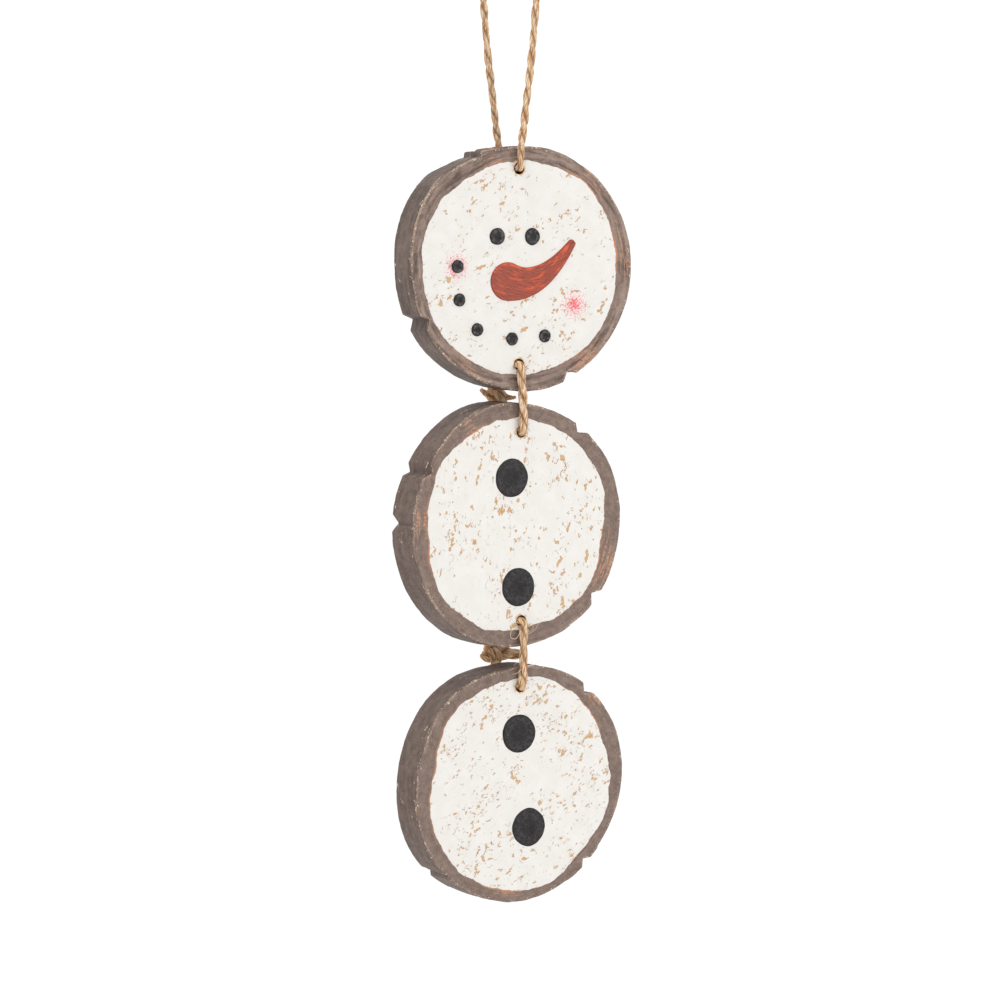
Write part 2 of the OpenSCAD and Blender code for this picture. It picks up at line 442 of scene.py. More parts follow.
def hairs(name, parts, per_mm, seed, longest=6.0):
    """Stray fibres standing off stretches of twine."""
    rng = np.random.default_rng(seed)
    verts, faces = [], []
    for twine, first, last in parts:
        span = twine.along[last] - twine.along[first]
        for _ in range(int(span * per_mm)):
            i = int(rng.integers(first, last + 1))
            angle = rng.uniform(0, 2 * math.pi)
            out = math.cos(angle) * twine.a[i] + math.sin(angle) * twine.b[i]
            way = twine.ahead[i] * rng.choice([-1, 1])
            side = np.cross(way, out)
            length = rng.uniform(0.3, 1) * longest
            rise = rng.uniform(0.1, 0.9) * length / 4
            sway = rng.normal(0, 0.16) * length
            curl = rng.uniform(-0.14, 0.14) * length
            start = twine.line[i] + out * (TWINE_D / 2 - HAIR_ROOT)
            thick = rng.uniform(0.04, 0.08)
            faces += tube_faces(HAIR_STEPS, HAIR_SIDES, len(verts))
            for t in np.linspace(0, 1, HAIR_STEPS):
                here = (start + way * length * (t - 0.25 * t * t)
                        + out * (rise * t * t + curl * math.sin(t * 5.0) * t)
                        + side * (sway * t * t + curl * math.cos(t * 4.0) * t))
                verts += fibre_ring(here, out, side, thick * (1 - 0.7 * t), HAIR_SIDES, angle)
    return new_object(name, verts, faces)


# A slice's thickness, how far from its middle the twine runs, the bend where the twine comes out
# of a hole, and how far off the hole's axis it lies
SLICE_T = 14.5
STRAND_Y = SLICE_T / 2 + 0.15 + TWINE_D / 2
BEND_R = 1.8
SEAT = 0.1
# A knot's place behind the middle, its half height, and the reach and turns of its wraps
KNOT_Y = 10.4
KNOT_HALF = 3.0
WRAP_REACH = 1.8
WRAP_TURNS = 0.92

HEAD_TURN = turn_of("head_sway")
MIDDLE_TURN = turn_of("middle_sway")
BOTTOM_TURN = turn_of("bottom_sway")


def bend(turn, way, up, z):
    """The quarter bend where the twine comes out of a hole."""
    a = np.radians([0, 30, 60, 90])
    y = way * (STRAND_Y - BEND_R + BEND_R * np.sin(a))
    return turned(np.c_[0 * a, y, z + up * BEND_R * (1 - np.cos(a))], turn)


def passage(turn, up, hole):
    """The twine through one hole, from in front of the slice to behind it."""
    z = hole + up * SEAT
    middle = turned([[0, -3, z], [0, 3, z]], turn)
    return np.vstack([bend(turn, -1, up, z)[::-1], middle, bend(turn, 1, up, z)])


def half_knot(centre, turn, right_tail, left_tail, wrap_r=1.3):
    """The two strands of a half knot round an axis along X: the one from above, which ends in
    the right tail, and the one from below, which ends in the left tail. The knot's centre is
    given in its own frame, and the tails from that centre."""
    x = np.linspace(-WRAP_REACH, WRAP_REACH, 9)
    phase = math.pi / 2 + 2 * math.pi * WRAP_TURNS * (x + WRAP_REACH) / (2 * WRAP_REACH)
    strands = []
    for side, tail in ((1, right_tail), (-1, left_tail)):
        lead = [[-centre[0], 0, side * (KNOT_HALF + 0.6)], [side * -1.4, 0, side * 3.0],
                [side * -2.4, 0, side * 2.2]]
        wraps = np.c_[x, side * wrap_r * np.cos(phase), side * wrap_r * np.sin(phase)][::side]
        strands.append(turned(np.vstack([lead, wraps, tail]) + np.array(centre), turn))
    return strands


# Front half of the hanging loop, from the sling up to the top of its bight, in mm
HANGER_FRONT = [
    [-0.5, -8.9, -69], [0.6, -8.4, -63], [2, -7.5, -56], [3.6, -6.6, -48.5],
    [5.1, -5.7, -41], [6.6, -4.7, -33], [8.1, -3.5, -25], [9.4, -2.3, -18],
    [10.4, -1.2, -12.5], [10.8, -0.4, -8.5], [10, 0, -5.2], [8.2, 0, -2.3],
    [5.6, 0, -0.1], [2.8, 0, 1.1],
]
HANGER_TOP = [[0, 0, 1.5]]
HANGER_KNOT_Z = -72.6
# Heights between which the loop would bend when the head turns on it; dress_twine only bakes the loop in
# place, without bending it
LOOP_BENDS_FROM, LOOP_BENDS_TO = -20, -69


def hanger_twine():
    """The whole hanger, from its knot over the hook and through the head to the knot again."""
    hole = height_of("head_sway")
    front = np.array(HANGER_FRONT)
    back = front * [-1, -1, 1]
    above, below = half_knot((0, KNOT_Y, HANGER_KNOT_Z), HEAD_TURN,
                             [[3.3, 0.4, 0.4], [5.2, 0.7, -0.6], [7.0, 0.6, -2.4]],
                             [[-3.3, 0.5, -1.2], [-5.2, 0.9, -2.4], [-7.0, 0.6, -4.4]])
    through = passage(HEAD_TURN, 1, hole)
    middle = turned([[0, 0, hole]], HEAD_TURN)
    route = np.vstack([
        above[::-1][:-1],
        back, HANGER_TOP, front[::-1],
        turned([[0, -STRAND_Y, -72.2]], HEAD_TURN),
        through[:-2],
        below[2:],
    ])
    return Twine(route, seed=3, phase=0.6, radius=HANGER_R, holes=middle, frayed=(0.62, 0.62))


# How far from the middle of its gap a link's bend would reach; dress_twine only bakes the link's halves in
# place, without bending them
LINK_BENDS_OVER = 5


def link_twine(upper_joint, gap_joint, lower_joint, upper_turn, lower_turn, seed, phase, knot, wrap_r,
               tails, frayed):
    """A whole link: round from its knot through the upper slice and the lower slice. The knot's
    place is given as x and height from the middle of the gap."""
    gap = height_of(gap_joint)
    mid_turn = (upper_turn + lower_turn) / 2
    above, below = half_knot((knot[0], KNOT_Y, gap + knot[1]), mid_turn, *tails, wrap_r)
    up_hole = passage(upper_turn, -1, height_of(upper_joint))[::-1]
    low_hole = passage(lower_turn, 1, height_of(lower_joint))
    front = turned([[0, -STRAND_Y - 0.3, gap]], mid_turn)
    near_top = turned([[0, KNOT_Y - 0.3, gap + 6]], (upper_turn + mid_turn) / 2)
    near_low = turned([[0, KNOT_Y - 0.3, gap - 6]], (lower_turn + mid_turn) / 2)
    route = np.vstack([above[::-1], near_top, up_hole, front, low_hole, near_low, below])
    holes = [turned([[0, 0, height_of(joint)]], turn)
             for joint, turn in ((upper_joint, upper_turn), (lower_joint, lower_turn))]
    return Twine(route, seed, phase, LINK_R, holes, frayed), front[0], gap, mid_turn


def jute_material():
    """Twisted jute: pale golden fibres with darker ones between, fine streaks along them, painted
    highlights on the fibres, and painted shade in the crevices between them and in the groove between the
    plies.
    """
    s = Shader("jute")
    fibre = s.attribute("fibre", "Vector")
    groove = s.attribute("groove")
    broad = s.noise(fibre, (1.4, 1.4, 0.16), 2, 0.5)
    streak = s.noise(fibre, (3.2, 3.2, 0.3), 3, 0.6, shift=(3, 0, 0))
    fine = s.noise(fibre, (8.0, 8.0, 0.7), 3, 0.6, shift=(0, 5, 0))
    base = s.mix(s.step(broad, 0.32, 0.68), seen(214, 166, 124), seen(240, 201, 158))
    base = s.over(base, seen(160, 106, 64), s.step(streak, 0.49, 0.40), 0.85)
    # near-white streaks: painted highlights on the fibres
    base = s.over(base, seen(255, 236, 204), s.step(streak, 0.52, 0.60), 0.95)
    # thin dark lines between the fibres: partly darker fibres, partly painted shade in the crevices
    base = s.over(base, seen(120, 76, 42), s.step(fine, 0.44, 0.32), 0.75)
    # darker in the groove between the plies: painted shade
    base = s.over(base, seen(122, 78, 45), groove, 0.78)
    height = s.add(s.times(streak, 0.7), s.times(fine, 0.6))
    normal = s.bump(height, 0.8, 0.22)
    return s.finish(base, 0.85, normal, specular=0.15)


def hair_material():
    s = Shader("jute_hair")
    place = s.nodes.new("ShaderNodeTexCoord").outputs["Object"]
    tone = s.noise(place, 300, 2)
    base = s.mix(s.step(tone, 0.35, 0.65), seen(222, 194, 156), seen(252, 238, 214))
    return s.finish(base, 0.8, specular=0.15)


JUTE = jute_material()
HAIR = hair_material()


def dress_twine(ob, body, blend=None, material=JUTE):
    """Gives a twine piece its material, and the body that it rides on; with a blend, the piece is baked in
    place instead and rides on no body.
    """
    ob.data.materials.append(material)
    if blend:
        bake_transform(ob)
    else:
        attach(ob, body)
    return ob


def make_hanger():
    twine = hanger_twine()
    top = twine.nearest(HANGER_TOP[0])
    foot = np.array(HANGER_FRONT[0])
    back_cut = twine.nearest(foot * [-1, -1, 1], 0, top)
    front_cut = twine.nearest(foot, top)
    knot_cut = twine.nearest(turned([[0, STRAND_Y - BEND_R, height_of("head_sway") + SEAT]], HEAD_TURN)[0])
    last = len(twine.line) - 1
    free = [(twine, back_cut, front_cut)]
    loop = twine_piece("hanging_loop", free)
    loop_hairs = hairs("hanging_loop_hairs", free, 0.9, 11)
    bend_zone = ("sling", (0, 0, LOOP_BENDS_FROM * MM), (0, 0, LOOP_BENDS_TO * MM))
    dress_twine(loop, "hanger", bend_zone)
    dress_twine(loop_hairs, "hanger", bend_zone, HAIR)
    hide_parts("hanger_cord")
    through = [(twine, front_cut, knot_cut)]
    sling = dress_twine(twine_piece("hanger_through_head", through), "sling")
    dress_twine(hairs("hanger_through_head_hairs", through, 1.6, 12), "sling", material=HAIR)
    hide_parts("hanger_sling")
    ends = [(twine, 0, back_cut), (twine, knot_cut, last)]
    knot = dress_twine(twine_piece("hanger_back_knot", ends), "sling")
    dress_twine(hairs("hanger_back_knot_hairs", ends, 1.2, 13, 2.4), "sling", material=HAIR)
    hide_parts("hanger_knot")


def make_link(name, twine, front, gap, mid_turn, seed):
    """The pieces of one link: its top half, its bottom half and its knot."""
    upper, middle, lower = (f"{name}_{letter}" for letter in "abc")
    mid = twine.nearest(front)
    top_end, low_end = (turned([[0, KNOT_Y, gap + side * KNOT_HALF]], mid_turn)[0] for side in (1, -1))
    first_cut = twine.nearest(top_end, 0, mid)
    second_cut = twine.nearest(low_end, mid)
    centre, zone = Vector((0, 0, gap * MM)), Vector((0, 0, LINK_BENDS_OVER * MM))
    ends = [(twine, 0, first_cut), (twine, second_cut, len(twine.line) - 1)]
    # each part's stretches, body and blend, and how many and how long its hairs are
    parts = {
        "top": ([(twine, first_cut, mid)], upper, (middle, centre + zone, centre), 1.5, 4.5),
        "bottom": ([(twine, mid, second_cut)], middle, (lower, centre, centre - zone), 1.5, 4.5),
        "knot": (ends, middle, None, 1.2, 2.4),
    }
    for part, (stretch, body, blend, per_mm, longest) in parts.items():
        piece = dress_twine(twine_piece(f"{name}_{part}_twine", stretch), body, blend)
        fluff = hairs(f"{name}_{part}_hairs", stretch, per_mm, seed, longest)
        dress_twine(fluff, body, blend, HAIR)
        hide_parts(f"{name}_{part}")
        seed += 1


# Long stray fibres by the lower link: the body that each rides on, and its route in mm
CURLS = (
    ("lower_link_a", [[-1.2, -10, -240], [-3.5, -10.6, -242.6], [-5.6, -10.4, -242.2], [-5.2, -10.2, -240],
                      [-3, -10.4, -239.2], [-1.2, -10.2, -240.6]]),
    ("lower_link_a", [[1.2, -10, -241.5], [4, -10.6, -240], [6.4, -10.2, -237.2], [8.6, -9.4, -234.6]]),
    ("lower_link_a", [[1, -10, -238.4], [2.6, -10.8, -237.6], [3.4, -10.6, -239.2], [2, -10.4, -240.4],
                      [1.1, -10.2, -239]]),
    ("lower_link_c", [[-1.1, -10, -250.6], [-3, -10.6, -251], [-4.4, -10.2, -252.6]]),
    ("lower_link_c", [[-1.1, -10, -253.8], [-3, -10.4, -255], [-4.6, -9.6, -255.4]]),
    ("lower_link_c", [[1.2, -10, -253.2], [2.6, -10.8, -252], [2.4, -10.4, -250.2], [1.4, -10, -250.6]]),
    ("lower_link_c", [[1.2, -10, -252.6], [4, -10.5, -252.4], [6.2, -10, -250.8], [7.2, -9.6, -251.4]]),
)
CURL_R = 0.1
CURL_SIDES = 5


def make_curls():
    for n, (body, route) in enumerate(CURLS):
        line, along = smooth_route(route)
        _, a, b = route_frames(line)
        verts = []
        for i in range(len(line)):
            r = CURL_R * (1 - 0.5 * along[i] / along[-1])
            verts += fibre_ring(line[i], a[i], b[i], r, CURL_SIDES)
        curl = new_object(f"stray_fibre_{n + 1}", verts, tube_faces(len(line), CURL_SIDES))
        dress_twine(curl, body, material=HAIR)


def make_links():
    upper = link_twine(
        "upper_link_sway", "middle_tilt", "middle_sway", HEAD_TURN, MIDDLE_TURN,
        seed=5, phase=0.4, knot=(0.6, -0.2), wrap_r=1.3,
        tails=([[3.2, 0.3, -0.2], [5.4, 0.1, -0.6], [7.6, -0.2, -0.5]],
               [[-3.0, 0.5, 0.5], [-4.6, 0.8, 1.4], [-6.0, 0.6, 2.4]]),
        frayed=(0.42, 0.6))
    make_link("upper_link", *upper, 21)
    lower = link_twine(
        "lower_link_sway", "bottom_tilt", "bottom_sway", MIDDLE_TURN, BOTTOM_TURN,
        seed=8, phase=1.9, knot=(-0.9, -1.0), wrap_r=1.6,
        tails=([[3.4, 0.3, 0.6], [6.2, 0, 0.7], [9.2, -0.4, 0.2], [12.2, -0.8, -0.6]],
               [[-2.7, 1.4, -0.4], [-1.2, 2.4, -1.0], [2.6, 2.2, -1.4], [6.4, 1.2, -1.2],
                [11.4, 0.4, -1.6]]),
        frayed=(0.7, 0.6))
    make_link("lower_link", *lower, 31)
    make_curls()


make_hanger()
make_links()


# --- Wood slices ---

# Each slice, with lengths in mm and places round it in degrees: its CAD node, its turn, the joints
# at its holes, the centre of its coat, how far its rim bulges to the right, ledges on the rim as
# (from, to, height, fade in, fade out), the coat's mean radius, the waves of the coat's edge as
# (waves, height, place of a crest), the lean of its brush strokes, how much more it has flaked and
# how large the flakes are, how strong the brush marks and carving on its rim are and with them its
# painted shade on the side wall and painted highlights and shade on the relief, how light the rim
# is, and as (place, reach) where the rim is rubbed and where bare wood shows along the coat's edge
SLICES = {
    "head": dict(
        node="head_disc", turn=HEAD_TURN, holes=("head_sway", "upper_link_sway"),
        centre=(0.6, -111.4), bulge=0.45,
        ledges=((58, 111, 0.9, 22, 1), (111, 132, -0.9, 0.8, 14), (-92, -62, 0.45, 5, 3)),
        coat_r=38.3,
        waves=((1, 0.2, 1), (2, 0.45, 17), (3, 0.3, 54), (4, 0.35, -36), (6, 0.12, -23), (7, 0.17, 0)),
        streak=40, flaky=-0.009, flake_size=1.3, drawn=1.0, tone=1.04,
        rubs=((50, 14), (8, 14), (-128, 20), (-50, 14), (104, 9)),
        seams=((108, 10), (45, 16), (5, 14), (-52, 12)), seed=41),
    "middle": dict(
        node="middle_disc", turn=MIDDLE_TURN, holes=("middle_sway", "lower_link_sway"),
        centre=(-0.9, -202.5), bulge=0.1,
        ledges=((-160, -58, 0.35, 12, 4), (44, 75, 0.25, 4, 10)),
        coat_r=38.1,
        waves=((1, 1.0, -174), (2, 0.45, 38), (3, 0.15, 8), (4, 0.65, 43), (5, 0.4, 23), (6, 0.4, 24)),
        streak=80, flaky=0.012, flake_size=1.3, drawn=0.3, tone=0.965,
        rubs=((-25, 20), (176, 8), (120, 6)),
        seams=((180, 26), (-25, 24), (118, 8)), seed=52),
    "bottom": dict(
        node="bottom_disc", turn=BOTTOM_TURN, holes=("bottom_sway",),
        centre=(-0.5, -295), bulge=0.5,
        ledges=((46, 96, 0.6, 12, 10), (-62, -36, 0.4, 6, 3)),
        coat_r=37.8,
        waves=((1, 0.55, -28), (2, 0.65, 79), (3, 0.45, -4), (4, 0.15, -40), (5, 0.5, -9), (7, 0.25, -15)),
        streak=35, flaky=0.01, flake_size=0.95, drawn=0.3, tone=0.95,
        rubs=((-98, 14), (44, 10)),
        seams=((172, 34), (-98, 16), (40, 14)), seed=63),
}
HOLE_R = 2.0
HOLE_SIDES = 64
# Radii: about a rim's own, the one that its paint is drawn at, and one outside every rim
RIM_R = 43.3
WRAP_R = 43
OUTSIDE_R = 60
SPOKES = 600
COAT_RINGS = 34
BORDER_RINGS = 18
WALL_RINGS = 27
BACK_RINGS = 30
COAT_H = 0.12
# A face's smallest ring, as a share of its largest
HUB = 0.02
# Places across the coat's edge: where its flat top ends, part way down, and where it meets the wood
COAT_TOP, COAT_SLOPE, COAT_FOOT = -0.25, -0.06, 0.03
# How far inside a slice's faces its outline is read
READ_INSET = 0.05


def local_points(ob, turn):
    """A mesh's points in mm in its slice's own frame."""
    n = len(ob.data.vertices)
    points = np.empty(n * 3)
    ob.data.vertices.foreach_get("co", points)
    return turned(points.reshape(-1, 3) / MM, -turn)


class Slice:
    """One round wood slice, with its outline read from the CAD node."""

    def __init__(self, name, node, turn, holes, centre, bulge, ledges, coat_r, waves, streak, flaky,
                 flake_size, drawn, tone, rubs, seams, seed):
        self.name, self.turn, self.seed = name, turn, seed
        self.coat_r, self.waves, self.rubs, self.seams = coat_r, waves, rubs, seams
        self.streak, self.flaky, self.flake_size = streak, flaky, flake_size
        self.drawn, self.tone = drawn, tone
        self.x, self.z = centre
        self.holes = [height_of(j) for j in holes]
        cad = frame["nodes"][node]
        points = local_points(cad, turn)
        self.front, self.back = points[:, 1].min(), points[:, 1].max()
        faces = [tuple(p.vertices) for p in cad.data.polygons]
        self.tree = BVHTree.FromPolygons([Vector(p) for p in points], faces)
        self.angles = around(SPOKES)
        self.ring = circle(self.angles)
        self.swell = bulge * np.cos(self.angles)
        for start, end, height, fade_in, fade_out in ledges:
            at = (np.degrees(self.angles) - start) % 360
            rise = np.clip(at / fade_in, 0, 1)
            fall = np.clip((end - start - at) / fade_out, 0, 1)
            self.swell += height * (rise * fall * (3 - rise - fall)).clip(0, 1)

    def outline(self, y):
        """The rim's radius on every spoke, at one depth."""
        radii = []
        for x, z in self.ring:
            way = Vector((x, 0, z))
            start = Vector((self.x, y, self.z)) + way * OUTSIDE_R
            hit = self.tree.ray_cast(start, -way)
            radii.append(OUTSIDE_R - hit[3])
        return np.array(radii) + self.swell

    def coat_edge(self, angles):
        """The radius of the white coat's edge."""
        degrees = np.degrees(angles)
        edge = self.coat_r + sum(
            h * np.cos(np.radians(n * (degrees - at))) for n, h, at in self.waves)
        ring = circle(angles)
        return (edge + 0.4 * value_noise(ring * 5, self.seed) + 0.42 * value_noise(ring * 8, self.seed + 1)
                + 0.3 * rough(ring * 13, self.seed + 2)
                + 0.14 * value_noise(ring * 40, self.seed + 9))

    def point(self, radii, y):
        y = np.broadcast_to(y, radii.shape)
        return np.c_[self.x + radii * self.ring[:, 0], y, self.z + radii * self.ring[:, 1]]

    def hewn(self, angles, y):
        """Ridges of bark that run along the side wall, with finer knife marks across them."""
        ring = circle(angles)
        y = np.broadcast_to(y, angles.shape)
        ridges = 1 - 2 * np.abs(value_noise(np.c_[ring * 3.6, y / 1.9], self.seed + 3))
        long = rough(np.c_[ring * 9, y / 2.2], self.seed + 12, 3)
        short = rough(np.c_[ring * 34, y / 1.3], self.seed + 4, 2)
        return 0.14 * ridges + 0.13 * long + 0.07 * short

    def border_rings(self, edge, outer):
        """Rings from the coat's edge to the corner, with dips and chisel marks that follow the rim."""
        carved = 0.07 + 0.20 * self.drawn
        inner = edge + COAT_FOOT
        rings = []
        for f in np.linspace(0, 1, BORDER_RINGS + 1)[1:]:
            r = inner + (outer - inner) * f
            dip = 0.09 * rough(self.ring * r[:, None] / 3, self.seed + 6)
            dip += carved * rough(np.c_[self.ring * 2.6, (r - edge) / 1.3], self.seed + 7, 2)
            rings.append(self.point(r, self.front + 0.05 + dip * min(1, 4 * f * (1.15 - f))))
        return rings

    def corner_ring(self, wall_r, size, degrees, y, inward):
        """A ring on a corner's round, which goes from the face at 0 degrees to the side wall at 90."""
        a = math.radians(degrees)
        r = wall_r - size * (1 - math.sin(a)) + self.hewn(self.angles, y) * (degrees > 0)
        return self.point(r, y + inward * size * (1 - math.cos(a)))

    def rings(self):
        """Rings of points from the middle of the front face, over the rim, to the middle of the back."""
        edge = self.coat_edge(self.angles)
        wall_y = np.linspace(self.front, self.back, WALL_RINGS)
        wall_r = [self.outline(y) for y in wall_y.clip(self.front + READ_INSET, self.back - READ_INSET)]
        corner = 0.45 + 0.3 * np.abs(rough(self.ring * 12, self.seed + 5))
        shares = np.linspace(HUB, 1, COAT_RINGS) ** 0.85
        rings = [self.point((edge + COAT_TOP) * f, self.front - COAT_H) for f in shares]
        rings.append(self.point(edge + COAT_SLOPE, self.front - COAT_H * 0.7))
        rings.append(self.point(edge + COAT_FOOT, self.front))
        rings += self.border_rings(edge, wall_r[0] - corner)
        rings += [self.corner_ring(wall_r[0], corner, a, self.front, 1) for a in (30, 60)]
        for y, r in zip(wall_y, wall_r):
            here = np.clip(y, self.front + corner, self.back - corner)
            rings.append(self.point(r + self.hewn(self.angles, here), here))
        rings += [self.corner_ring(wall_r[-1], corner, a, self.back, -1) for a in (60, 30, 0)]
        shares = np.linspace(1, HUB, BACK_RINGS)[1:]
        return rings + [self.point((wall_r[-1] - corner) * f, self.back) for f in shares]

    def mesh(self):
        rings = self.rings()
        verts = np.vstack([*rings, [[self.x, self.front - COAT_H, self.z], [self.x, self.back, self.z]]])
        faces = grid_faces(len(rings), SPOKES)
        last = (len(rings) - 1) * SPOKES
        centre_front, centre_back = last + SPOKES, last + SPOKES + 1
        for j in range(SPOKES):
            k = (j + 1) % SPOKES
            faces.append((centre_front, k, j))
            faces.append((centre_back, last + j, last + k))
        ob = new_object(f"{self.name}_slice", turned(verts, self.turn), faces)
        self.drill(ob)
        self.mark(ob)
        return ob

    def drill(self, ob):
        """Cuts the round holes from front to back."""
        for hole in self.holes:
            ring = circle(around(HOLE_SIDES))
            r = HOLE_R + 0.06 * value_noise(ring * 4, self.seed + 8)
            stages = [np.c_[r * ring[:, 0], np.full(HOLE_SIDES, y), hole + r * ring[:, 1]]
                      for y in (self.front - 2, self.back + 2)]
            verts = turned(np.vstack(stages), self.turn)
            tool = new_object("drill", verts, tube_faces(2, HOLE_SIDES), smooth=False)
            cut = ob.modifiers.new("drill", "BOOLEAN")
            cut.object, cut.operation, cut.solver = tool, "DIFFERENCE", "EXACT"
            bpy.context.view_layer.update()
            graph = bpy.context.evaluated_depsgraph_get()
            done = bpy.data.meshes.new_from_object(ob.evaluated_get(graph))
            ob.modifiers.clear()
            ob.data = done
            bpy.data.objects.remove(tool)
        ob.data.shade_smooth()
        ob.data.set_sharp_from_angle(angle=math.radians(50))

    def mark(self, ob):
        """Stores what the paint needs to know at each point, in mm."""
        p = local_points(ob, self.turn)
        x, z, depth = p[:, 0] - self.x, p[:, 2] - self.z, p[:, 1] - self.front
        r, a = np.hypot(x, z), np.arctan2(z, x)
        rim_r = np.interp(a, self.angles, self.outline(self.front + 0.3), period=2 * math.pi)
        near = {}
        for name, places in (("worn", self.rubs), ("seam", self.seams)):
            away = [(np.degrees(a) - at + 180) % 360 - 180 for at, _ in places]
            near[name] = sum(np.exp(-(d / reach) ** 2) for d, (_, reach) in zip(away, places)).clip(0, 1)
        on_wall = np.clip((depth - 0.4) / 0.4, 0, 1)
        set_attributes(
            ob, **near, depth=depth, edge=self.coat_edge(a) - r,
            place=np.c_[x, z, depth],
            wrap=np.c_[circle(a) * WRAP_R, depth + r - RIM_R],
            rim=np.maximum(rim_r - r, 0) + depth,
            relief=(0.05 - depth) * (1 - on_wall) + self.hewn(a, p[:, 1]) * on_wall,
            hole=np.min([np.hypot(p[:, 0], p[:, 2] - h) for h in self.holes], axis=0) - HOLE_R)


def white_coat(s, sl, place, flat):
    """Off-white paint, brushed across the slice, with its brush strokes and its flakes: islands and
    broken curls, crowded where it was rubbed."""
    lean = -math.radians(sl.streak)
    cloud = s.noise(place, 0.16, 4, 0.6)
    white = s.mix(s.step(cloud, 0.35, 0.68), seen(241, 237, 231), seen(246, 243, 238))
    brushed = s.noise(flat, (0.10, 1.9, 1), 4, 0.6, turn=lean)
    white = s.over(white, seen(232, 227, 220), s.step(brushed, 0.55, 0.72), 0.6)
    grey = s.noise(flat, (0.9, 1.4, 1), 3, 0.6, turn=lean, shift=(9, sl.seed, 0))
    haze = s.noise(flat, 0.09, 2, 0.5, shift=(sl.seed, 3, 0))
    white = s.over(white, seen(196, 190, 182), s.step(grey, 0.62, 0.68), s.step(haze, 0.45, 0.6), 0.45)

    jog = s.vector("MULTIPLY", s.noise(flat, 0.8, 3, 0.6, out="Color"), (1.5, 1.5, 0))
    size = 1 / sl.flake_size
    flake_at = s.mapped(s.vector("ADD", flat, jog), (0.65 * size, size, 1), lean, (sl.seed, 0, 0))
    islands = s.noise(flake_at, 0.56, 3, 0.6)
    crowd = s.noise(flat, (0.06, 0.12, 1), 3, 0.6, turn=lean, shift=(0, sl.seed, 0))
    flake = s.less(islands, s.less(0.672 - sl.flaky, s.times(s.step(crowd, 0.42, 0.64), 0.092)))
    winding = s.noise(flake_at, 0.42, 3, 0.5, shift=(0, 7, 0))
    gap = s.noise(flat, 0.42, 2, 0.5, shift=(5, sl.seed, 0))
    gate = s.times(s.step(gap, 0.53 - sl.flaky, 0.58 - sl.flaky), s.step(crowd, 0.46, 0.56))
    curls = s.times(s.step(s.math("ABSOLUTE", s.less(winding, 0.5)), 0.014, 0.006), gate)
    flakes = s.math("MAXIMUM", s.step(flake, 0.0, 0.016), curls)
    chip = s.mix(s.step(flake, 0.012, 0.06), seen(198, 152, 104), seen(222, 182, 132))
    return s.mix(flakes, white, chip), brushed, flakes


def sawn_wood(s, sl, flat):
    """Bare wood, with fine fibres along the board and growth lines drawn out along it."""
    board = 0.35 + sl.seed
    fibres = s.noise(flat, (0.10, 2.6, 1), 4, 0.65, turn=board)
    growth = s.noise(flat, (0.0045, 0.040, 1), 2, 0.45, turn=board, shift=(sl.seed, 0, 0))
    lines = s.math("SINE", s.add(s.times(growth, 110.0), s.times(fibres, 1.6)))
    wood = s.mix(s.step(fibres, 0.32, 0.68), seen(212, 172, 122), seen(233, 202, 158))
    wood = s.over(wood, seen(198, 154, 106), s.step(lines, 0.2, 1.0), 0.42)
    stain = s.noise(flat, 0.045, 3, 0.5, shift=(sl.seed, 9, 0))
    return s.over(wood, seen(220, 190, 150), s.step(stain, 0.45, 0.65), 0.35), fibres


